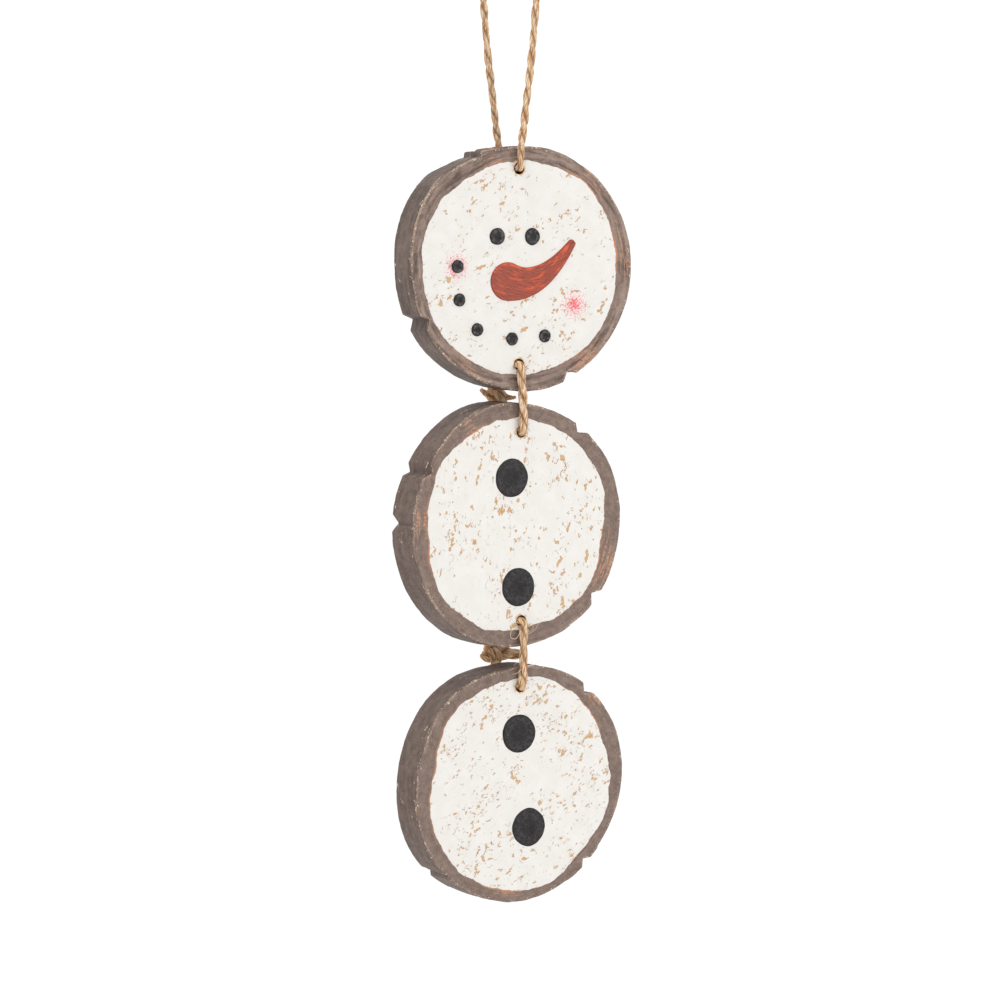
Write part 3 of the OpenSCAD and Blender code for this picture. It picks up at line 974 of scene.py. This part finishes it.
def bark_paint(s, sl, place, wrap, edge, rim, depth):
    """Matt grey-brown paint, brushed along the rim, worn and chipped, with its brush strokes, painted
    shade on the side wall, and painted highlights and painted shade on its carved relief.
    """
    soft = s.step(s.noise(place, 0.35, 4, 0.6), 0.3, 0.7)
    dark, light = (seen(*(sl.tone * v for v in color)) for color in ((128, 108, 98), (154, 132, 120)))
    side = s.step(depth, 0.25, 0.7)
    # the side wall is darker than the front: painted shade, stronger on the head
    side_wall_painted_shade = s.mix(soft, seen(78, 63, 56), seen(106, 88, 80))
    bark = s.over(s.mix(soft, dark, light), side_wall_painted_shade, side, 0.58 + 0.4 * sl.drawn)

    # brush marks along the rim, which also stand in as painted highlights and painted shade on its ridges
    # and grooves, then painted highlights on the crests of its relief and painted shade in its hollows
    to_front = s.less(1.0, s.times(side, 0.75))
    drawn = s.noise(wrap, (0.11, 0.11, 1.25), 5, 0.65)
    bark = s.over(bark, seen(92, 76, 69), s.step(drawn, 0.50, 0.38), 0.65 * sl.drawn)
    bark = s.over(bark, seen(176, 157, 146), s.step(drawn, 0.57, 0.70), to_front, 0.5 * sl.drawn)
    fine = s.noise(wrap, (1.9, 1.9, 3.0), 3, 0.7)
    bark = s.over(bark, seen(94, 77, 69), s.step(fine, 0.48, 0.34), 0.6)
    bark = s.over(bark, seen(172, 152, 140), s.step(fine, 0.53, 0.66), 0.4)
    relief = s.attribute("relief")
    # painted highlight on the relief's crests, painted shade in its hollows
    bark = s.over(bark, seen(186, 162, 148), s.step(relief, 0.0, 0.17), to_front, 0.1 + 0.5 * sl.drawn)
    bark = s.over(bark, seen(82, 66, 59), s.step(relief, -0.02, -0.17), 0.2 + 0.5 * sl.drawn)

    # orange-brown streaks where the front is rubbed
    on_front = s.step(depth, 0.7, 0.2)
    rubbed = s.noise(wrap, (0.05, 0.05, 0.9), 5, 0.7, shift=(sl.seed, 0, 0))
    rub_more = s.add(rubbed, s.times(s.less(s.attribute("worn"), 0.6), 0.19))
    rub = s.times(s.step(rub_more, 0.54, 0.62), s.step(s.noise(place, 1.1, 3, 0.7), 0.38, 0.56))
    bark = s.over(bark, seen(206, 152, 118), rub, on_front, 0.9)

    # worn along the front corner, down to wood or to the pale undercoat; the lighter band along the corner
    # is also a painted highlight on its edge
    ridge = s.noise(wrap, (0.10, 0.10, 0.9), 4, 0.7, shift=(0, sl.seed, 0))
    corner = s.times(s.step(rim, 1.1, 0.4), s.step(ridge, 0.49, 0.60))
    bark = s.over(bark, seen(194, 164, 144), corner, 0.4 + 0.3 * sl.drawn)
    nicks = s.noise(wrap, 1.3, 3, 0.6)
    pale = s.times(s.step(nicks, 0.592, 0.63), s.step(rim, 1.3, 0.7), s.step(ridge, 0.43, 0.49))

    # chipped off in places on the side wall
    chipped = s.noise(s.mapped(wrap, (0.7, 0.7, 1.1), shift=(2, 2, 2)), 0.6, 3, 0.55)
    bare = s.step(s.noise(wrap, 0.07, 2, 0.5, shift=(6, 1, 0)), 0.50, 0.56)
    off = s.times(s.step(chipped, 0.672, 0.69), side, bare)
    bark = s.over(bark, seen(236, 220, 196), s.math("MAXIMUM", pale, off), 0.9)

    # a thin rubbed line beside parts of the coat's edge
    seam = s.times(s.step(edge, -0.75, -0.3), s.step(rubbed, 0.38, 0.5), s.attribute("seam"), on_front)
    return s.over(bark, seen(208, 146, 104), seam, 0.9), s.add(drawn, fine)


def slice_material(sl, cheeks=()):
    """The white coat inside the bark paint, torn wood round the holes, and a bare back."""
    s = Shader(f"{sl.name}_paint")
    place, wrap = s.attribute("place", "Vector"), s.attribute("wrap", "Vector")
    edge, rim, hole, depth = (s.attribute(n) for n in ("edge", "rim", "hole", "depth"))
    flat = s.vector("MULTIPLY", place, (1, 1, 0))
    on_coat = s.times(s.step(edge, -0.05, 0.05), s.step(depth, 1.0, 0.6))
    white, brushed, flakes = white_coat(s, sl, place, flat)
    wood, fibres = sawn_wood(s, sl, flat)
    bark, strokes = bark_paint(s, sl, place, wrap, edge, rim, depth)
    color = s.mix(on_coat, bark, white)

    # torn, bare wood round the holes
    torn = s.step(s.add(hole, s.times(s.noise(place, 0.9, 3, 0.7), 4.4)), 2.75, 2.4)
    splinter = s.mix(s.step(s.noise(place, 1.3, 2, 0.5), 0.52, 0.6), wood, seen(240, 180, 104))
    color = s.mix(torn, color, splinter)
    color = s.mix(s.step(hole, 0.12, 0.02), color, seen(120, 86, 56))

    for x, z, spread, seed in cheeks:
        away = s.vector("DISTANCE", flat, (x - sl.x, z - sl.z, 0))
        dots = s.noise(flat, 1.6, 3, 0.65, shift=(seed, seed, 0))
        level = s.add(0.41, s.times(s.math("DIVIDE", away, spread), 0.21))
        color = s.over(color, seen(252, 196, 200), s.step(away, spread, 0), 0.16, on_coat)
        red = s.mix(s.step(away, spread * 0.7, 0), seen(248, 140, 148), seen(255, 84, 104))
        color = s.over(color, red, s.step(s.less(dots, level), 0.0, 0.03), on_coat, 0.9)

    # the back is left bare, but for brown paint that ran over its edge
    run = s.less(s.less(rim, depth), s.times(s.noise(place, 0.33, 4, 0.65), 4.2))
    clear = s.less(1.0, s.times(s.step(run, -0.3, -1.5), 0.85))
    back = s.times(s.step(depth, SLICE_T - 0.3, SLICE_T - 0.12), clear)
    color = s.mix(back, color, wood)

    height = s.add(s.times(brushed, 0.3), s.times(flakes, on_coat, -1.0))
    height = s.add(height, s.times(s.noise(place, 2.6, 4, 0.65), 0.22))
    height = s.add(height, s.times(strokes, s.less(1.0, on_coat), 0.8))
    height = s.add(height, s.times(fibres, back, 0.6))
    roughness = s.add(0.52, s.times(s.noise(place, 0.8, 3), 0.16))
    roughness = s.add(roughness, s.times(on_coat, 0.2))
    return s.finish(color, roughness, s.bump(height, 0.55, 0.25), specular=0.25)


# Cheeks: place in the head's own frame, spread and a shift of their spatter
CHEEKS = ((-24.4, -111.1, 6.0, 5.7), (21.8, -124.6, 6.2, 9.7))


def make_slices():
    for name, facts in SLICES.items():
        sl = Slice(name, **facts)
        ob = sl.mesh()
        ob.data.materials.clear()
        material = slice_material(sl, CHEEKS if name == "head" else ())
        dress(ob, material, name, facts["node"])


make_slices()


# --- Thick paint ---

PAT_SPOKES = 96
# How far thick paint sinks into the wood under it
SUNK = 0.05


def pat(node, body, turn, height, seed, swirl, wobble):
    """A round pat of thick paint: a soft raised edge, a shallow dip inside it and brush marks."""
    points = local_points(frame["nodes"][node], turn)
    low, high = points.min(0), points.max(0)
    x, z, r0 = (low[0] + high[0]) / 2, (low[2] + high[2]) / 2, (high[0] - low[0]) / 2
    ring = circle(around(PAT_SPOKES))
    rim = r0 * (1 + wobble * rough(ring * 1.6, seed, 3)) - 0.05 * r0 * wobble
    verts = []
    shares = np.r_[1.0, 0.995, 0.97, 0.93, 0.87, np.linspace(0.8, 0.04, 20)]
    for f in shares:
        rr = rim * f
        dome = (1 - f**6) ** 0.5 if f < 1 else 0.0
        edge = 0.14 * math.exp(-((f - 0.84) / 0.09) ** 2)
        dip = swirl * math.exp(-((f - 0.05) / 0.4) ** 2)
        marks = rough(np.c_[ring * rr[:, None] * [0.5, 1.6], np.full(PAT_SPOKES, seed)], seed + 1, 3)
        h = height * (0.82 * dome + edge - dip + 0.07 * marks * dome)
        y = high[1] - np.maximum(h, 0) if f < 1 else np.full(PAT_SPOKES, high[1] + SUNK)
        verts.append(np.c_[x + ring[:, 0] * rr, y, z + ring[:, 1] * rr])
    n = len(shares)
    centre_y = verts[-1][:, 1].mean()
    verts = np.vstack([*verts, [[x, centre_y, z], [x, high[1] + SUNK, z]]])
    faces = grid_faces(n, PAT_SPOKES)
    last = (n - 1) * PAT_SPOKES
    for j in range(PAT_SPOKES):
        k = (j + 1) % PAT_SPOKES
        faces.append((last + PAT_SPOKES, last + j, last + k))
        faces.append((last + PAT_SPOKES + 1, k, j))
    ob = new_object(f"{node}_paint", turned(verts, turn), faces)
    set_attributes(
        ob, place=np.c_[verts[:, 0] - x, verts[:, 2] - z, verts[:, 1] + seed],
        share=np.r_[np.repeat(shares, PAT_SPOKES), 0, 0], swirl=np.full(len(verts), swirl))
    dress(ob, BLACK, body, node)


def black_material():
    s = Shader("black_paint")
    place = s.attribute("place", "Vector")
    cloud = s.noise(place, 0.5, 4, 0.6)
    base = s.mix(s.step(cloud, 0.3, 0.7), seen(18, 15, 17), seen(38, 34, 36))
    strokes = s.noise(place, (0.5, 2.2, 1), 4, 0.65, turn=0.5)
    base = s.over(base, seen(72, 66, 68), s.step(strokes, 0.54, 0.70), 0.6)
    # a lighter ring on the raised edge of each pat, broken by noise: a painted highlight
    ring = s.times(s.step(s.attribute("share"), 0.3, 0.62), s.step(s.attribute("share"), 0.94, 0.8))
    swirl = s.times(ring, s.step(s.noise(place, 0.9, 3, 0.6), 0.40, 0.62), s.attribute("swirl"), 3.0)
    base = s.mix(swirl, base, seen(98, 92, 92))
    dust = s.step(s.noise(place, 1.6, 2), 0.70, 0.74)
    base = s.over(base, seen(140, 132, 128), dust, 0.6)
    normal = s.bump(s.add(strokes, s.times(cloud, 0.6)), 0.8, 0.4)
    roughness = s.add(0.40, s.times(strokes, 0.25))
    return s.finish(base, roughness, normal, specular=0.28)


BLACK = black_material()

for i, node in enumerate(("left_eye", "right_eye")):
    pat(node, "head", HEAD_TURN, 0.85, 70 + i, 0.28, 0.05)
for i in range(1, 6):
    pat(f"mouth_dot_{i}", "head", HEAD_TURN, 0.85, 80 + i, 0.3, 0.06)
for i, (body, turn) in enumerate((("middle", MIDDLE_TURN), ("bottom", BOTTOM_TURN))):
    for j, place in enumerate(("upper", "lower")):
        pat(f"{body}_button_{place}", body, turn, 0.5, 90 + 2 * i + j, 0.1, 0.035)

# Carrot nose: a curved spine from the round end to the tip, in the head's own frame, its half
# widths and its height
NOSE_SPINE = np.array([[-4.4, -116.3], [8.5, -119.6], [20.7, -103.0]])
NOSE_BASE_R, NOSE_TIP_R = 6.9, 1.7
NOSE_H = 0.5
NOSE_STEPS = 90
NOSE_LANES = 25
# Rows that fan out past each end of the spine
FAN_ROWS = 24


def nose_material():
    """Brick red laid on with a brush, with brighter orange-red strokes along the carrot."""
    s = Shader("nose_paint")
    flow = s.attribute("flow", "Vector")
    grain = s.noise(flow, (0.28, 2.2, 1), 4, 0.7, turn=0.25)
    strokes = s.noise(flow, (0.10, 0.60, 1), 4, 0.60, shift=(4.4, 2, 0))
    base = s.mix(s.step(grain, 0.32, 0.68), seen(136, 60, 45), seen(186, 88, 64))
    # brighter strokes, more of them near the hollow upper edge
    high = s.step(s.attribute("lift"), 0.45, 0.95)
    bright = s.step(s.add(strokes, s.times(high, 0.11)), 0.52, 0.64)
    base = s.over(base, seen(238, 100, 54), bright, s.step(grain, 0.36, 0.52), 0.95)
    rim = s.step(s.attribute("rim"), 0.6, 0.15)
    base = s.over(base, seen(166, 52, 32), rim, 0.75)
    normal = s.bump(s.add(grain, strokes), 0.8, 0.4)
    return s.finish(base, 0.45, normal, specular=0.35)


def make_nose():
    high = local_points(frame["nodes"]["carrot_nose"], HEAD_TURN).max(0)[1]
    t = np.linspace(0, 1, NOSE_STEPS)
    p0, p1, p2 = NOSE_SPINE
    spine = np.outer((1 - t) ** 2, p0) + np.outer(2 * t * (1 - t), p1) + np.outer(t**2, p2)
    way = np.outer(1 - t, p1 - p0) + np.outer(t, p2 - p1)
    way /= np.linalg.norm(way, axis=1, keepdims=True)
    r = NOSE_BASE_R + (NOSE_TIP_R - NOSE_BASE_R) * t
    run = np.r_[0, np.cumsum(np.linalg.norm(np.diff(spine, axis=0), axis=1))]
    # each row's centre, direction, half width and place along the nose
    rows = list(zip(spine, way, r, run))
    fan = np.linspace(0, math.pi / 2, FAN_ROWS)[1:]
    for end, side in ((0, -1), (-1, 1)):
        out = side * r[end] * np.sin(fan)
        more = [(spine[end] + way[end] * o, way[end], r[end] * c, run[end] + o)
                for o, c in zip(out, np.cos(fan))]
        rows = more[::-1] + rows if side < 0 else rows + more
    across = np.sin(np.linspace(-math.pi / 2, math.pi / 2, NOSE_LANES))
    top, flow, rims, lifts = [], [], [], []
    for centre, w, half, along in rows:
        half = half * (1 + 0.02 * value_noise(np.array([[along / 4, 3.0]]), 7)[0])
        normal = np.array([-w[1], w[0]])
        for c in across:
            p = centre + normal * c * half
            # how far this point is from the nose's edge
            inside = max(0.0, float((r - np.hypot(*(p - spine).T)).max()))
            mark = rough(np.array([[along / 9, c * half * 1.3, 1.0]]), 17, 3)[0]
            h = NOSE_H * (1 - math.exp(-inside / 0.22)) * (0.86 + 0.14 * mark)
            h += 0.1 * math.exp(-((inside - 0.5) / 0.3) ** 2)
            top.append((p[0], high - h, p[1]))
            flow.append((along, c * half, 0))
            lifts.append(c)
            rims.append(inside)
    under = [(x, high + SUNK, z) for x, _, z in top]
    n, lanes, count = len(rows), NOSE_LANES, len(top)
    faces = grid_faces(n, lanes, closed=False) + grid_faces(n, lanes, count, closed=False)
    edge = ([j for j in range(lanes)] + [i * lanes + lanes - 1 for i in range(1, n)]
            + [(n - 1) * lanes + j for j in reversed(range(lanes - 1))]
            + [i * lanes for i in reversed(range(1, n - 1))])
    for a, b in zip(edge, edge[1:] + edge[:1]):
        faces.append((b, a, count + a, count + b))
    ob = new_object("carrot_nose_paint", turned(top + under, HEAD_TURN), faces)
    set_attributes(ob, flow=flow + flow, rim=rims + rims, lift=lifts + lifts)
    # the rows meet in one point at each end
    bm = bmesh.new()
    bm.from_mesh(ob.data)
    bmesh.ops.remove_doubles(bm, verts=bm.verts, dist=0.00002)
    bmesh.ops.dissolve_degenerate(bm, edges=bm.edges, dist=0.000005)
    bmesh.ops.recalc_face_normals(bm, faces=bm.faces)
    bm.to_mesh(ob.data)
    bm.free()
    dress(ob, nose_material(), "head", "carrot_nose")


make_nose()


# --- Floor and light ---

FLOOR_Z = -0.9
FLOOR_HALF = 30
WORLD_STRENGTH = 1.05


def make_stage():
    s = Shader("pale_floor")
    place = s.nodes.new("ShaderNodeTexCoord").outputs["Object"]
    tone = s.noise(place, 0.4, 2)
    s.finish(s.mix(tone, (0.97, 0.97, 0.97, 1), (0.99, 0.99, 0.99, 1)), 0.9)
    corners = [(x * FLOOR_HALF / MM, y * FLOOR_HALF / MM, FLOOR_Z / MM)
               for x, y in ((-1, -1), (1, -1), (1, 1), (-1, 1))]
    floor = new_object("floor", corners, [(0, 1, 2, 3)], smooth=False)
    floor.data.materials.append(s.material)
    world = bpy.data.worlds.new("studio")
    bpy.context.scene.world = world
    world.use_nodes = True
    sky = world.node_tree.nodes["Background"]
    sky.inputs["Color"].default_value = (1, 1, 1, 1)
    sky.inputs["Strength"].default_value = WORLD_STRENGTH


def soft_light(name, place, aim, size, watts):
    lamp = bpy.data.lights.new(name, "AREA")
    lamp.size, lamp.energy = size, watts
    ob = bpy.data.objects.new(name, lamp)
    ob.location = place
    ob.rotation_euler = (Vector(aim) - Vector(place)).to_track_quat("-Z", "Y").to_euler()
    bpy.context.collection.objects.link(ob)


make_stage()
soft_light("key", (1.3, -1.6, 0.7), (0, 0, -0.2), 0.7, 14)
soft_light("top", (-0.5, -0.1, 1.1), (0, 0, -0.2), 0.5, 6)
